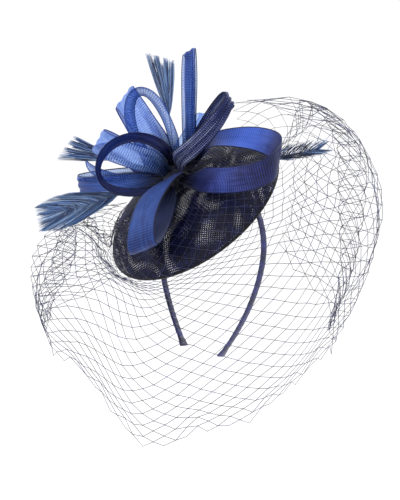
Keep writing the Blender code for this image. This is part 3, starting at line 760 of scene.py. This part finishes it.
def buildBand():
    count, around = 620, band["around"]
    run, path = bandPath(count)
    along = np.gradient(path, axis=0)
    along /= np.linalg.norm(along, axis=1)[:, None]
    up = np.cross(along, np.array([0.0, 1.0, 0.0])) * -1.0
    up *= np.sign(up[count // 2, 2])
    end = np.minimum(run, run[-1] - run)
    width = band["width"] + (band["tipWidth"] - band["width"]) * (1 - smoothStep(end / (9 * mm)))
    angle = np.linspace(0, tau, around, endpoint=False)
    turn = (run[:, None] / band["wrapPitch"] + angle[None] / tau) % 1.0
    step = band["wrapStep"] * (turn - 0.5)  # each turn overlaps the last
    square = (np.abs(np.cos(angle)) ** 2.6 + np.abs(np.sin(angle)) ** 2.6) ** (-1 / 2.6)
    across = (width[:, None] / 2 - 0.1 * mm) * (np.cos(angle) * square)[None] + step * np.cos(angle)[None]
    rise = (band["thick"] / 2) * (np.sin(angle) * square)[None] + step * np.sin(angle)[None]
    points = (path[:, None] + np.array([0.0, 1.0, 0.0]) * across[..., None]
              + up[:, None] * (rise + band["thick"] / 2 + 0.1 * mm)[..., None])
    ends = [points[0].mean(axis=0), points[-1].mean(axis=0)]
    faces = [list(f) for f in gridFaces(count, around, closed=True)]
    first, last = count * around, count * around + 1
    faces += [[first, j, (j + 1) % around] for j in range(around)]
    faces += [[last, (count - 1) * around + (j + 1) % around, (count - 1) * around + j] for j in range(around)]
    item = newPiece("wrapped_band", np.concatenate([points.reshape(-1, 3), ends]), faces, satinMaterial())
    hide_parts("headband")
    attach(item, "root")
    print("headband", len(faces))


buildBand()


# ---------- knot ----------
knot = {"radius": 12.4 * mm, "height": 9.6 * mm, "folds": 13, "foldDepth": 0.16,
        "strays": 60, "strayReach": 20.0 * mm, "strayThick": 0.2 * mm, "seed": 3}


def buildKnot():
    rows, columns = 40, 130
    tall = np.linspace(-0.5, 1.0, rows)[:, None] * math.pi / 2
    angle = np.linspace(0, tau, columns, endpoint=False)[None]
    fold = np.cos(knot["folds"] * angle + 2.2 * np.sin(2 * angle) + 1.5 * tall)
    size = 1.0 - knot["foldDepth"] * (0.5 + 0.5 * fold) * np.cos(tall) - 0.04 * np.cos(31 * angle + 5 * tall)
    points = np.stack([knot["radius"] * size * np.cos(tall) * np.cos(angle),
                       knot["radius"] * size * np.cos(tall) * np.sin(angle),
                       knot["height"] * size * np.sin(tall) + 0 * angle], axis=2) + np.array(ribbon["knotCentre"])
    mat, tree = newMaterial("gatheredHorsehair")  # the ribbons' roots, drawn tight and sewn down
    place = addNode(tree, "ShaderNodeTexCoord").outputs["Object"]
    noise = addNode(tree, "ShaderNodeTexNoise", {"Scale": 300.0, "Detail": 3.0}, {"Vector": place}).outputs["Fac"]
    colour = blendStops(tree, noise, [(0.36, "03040c"), (0.56, "0a0e2a"), (0.72, "223066")])
    bump = addNode(tree, "ShaderNodeBump", {"Strength": 0.6, "Distance": 0.0005}, {"Height": noise})
    skin = addNode(tree, "ShaderNodeBsdfPrincipled", {"Roughness": 0.5}, {"Base Color": colour, "Normal": bump.outputs[0]})
    addNode(tree, "ShaderNodeOutputMaterial", links={"Surface": skin.outputs[0]})
    faces = [list(f) for f in gridFaces(rows, columns, closed=True)]
    item = newPiece("gathered_knot", hatToRow(points.reshape(-1, 3)), faces, mat)
    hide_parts("knot")
    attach(item, "root")
    rng = np.random.default_rng(knot["seed"])
    strays, edges = [], []
    for number in range(knot["strays"]):  # loose nylon ends round the stitching
        bearing, way = rng.uniform(0, tau), rng.uniform(-1.4, 1.4)
        t = np.linspace(0.3, 1.0, 9)
        far = knot["radius"] + rng.uniform(0.2, 1.0) * knot["strayReach"]
        turned = bearing + way * t ** 2
        rise = rng.uniform(0.0, 9.0) * mm + 3.0 * mm * np.sin(t * rng.uniform(2.0, 5.0)) - 5.0 * mm * t ** 3
        line = np.stack([far * t * np.cos(turned), far * t * np.sin(turned), rise], axis=1) + np.array(ribbon["knotCentre"])
        line[:, 2] = np.maximum(line[:, 2], domeHeight(np.hypot(line[:, 0], line[:, 1])) + 0.8 * mm)
        edges.extend((len(strays) + i, len(strays) + i + 1) for i in range(8))
        strays.extend(line)
    stray = newPiece("stray_threads", hatToRow(strays), [], mat, edges=edges)
    runTree(stray, barbTree(), {"Thickness": knot["strayThick"], "Finish": mat})
    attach(stray, "root")
    print("knot", len(faces))


buildKnot()


# ---------- floor and light ----------
studio = {"floorDepth": -0.42, "sky": 1.12, "key": 9.0, "fill": 3.0}


def addLamp(name, place, power, size):
    data = bpy.data.lights.new(name, "AREA")
    data.energy, data.size = power, size
    lamp = bpy.data.objects.new(name, data)
    lamp.location = place
    lamp.rotation_euler = (Vector((0, 0, -0.03)) - Vector(place)).to_track_quat("-Z", "Y").to_euler()
    bpy.context.scene.collection.objects.link(lamp)


def buildStudio():
    mat, tree = newMaterial("palePaper")
    skin = addNode(tree, "ShaderNodeBsdfPrincipled", {"Base Color": linear("f8f8f8"), "Roughness": 0.9, "Specular IOR Level": 0.1})
    addNode(tree, "ShaderNodeOutputMaterial", links={"Surface": skin.outputs[0]})
    far, low = 400.0, studio["floorDepth"]
    floor = newPiece("floor", [(-far, -far, low), (far, -far, low), (far, far, low), (-far, far, low)], [(0, 1, 2, 3)], mat)
    world = bpy.data.worlds.new("softRoom")
    world.use_nodes = True
    world.node_tree.nodes["Background"].inputs["Color"].default_value = linear("ffffff")
    world.node_tree.nodes["Background"].inputs["Strength"].default_value = studio["sky"]
    bpy.context.scene.world = world
    addLamp("key", (0.2, 1.1, 1.3), studio["key"], 0.9)
    addLamp("fill", (-0.6, -1.3, 0.6), studio["fill"], 1.2)
    bpy.context.scene.view_settings.view_transform = "Standard"
    print("studio ready")


buildStudio()
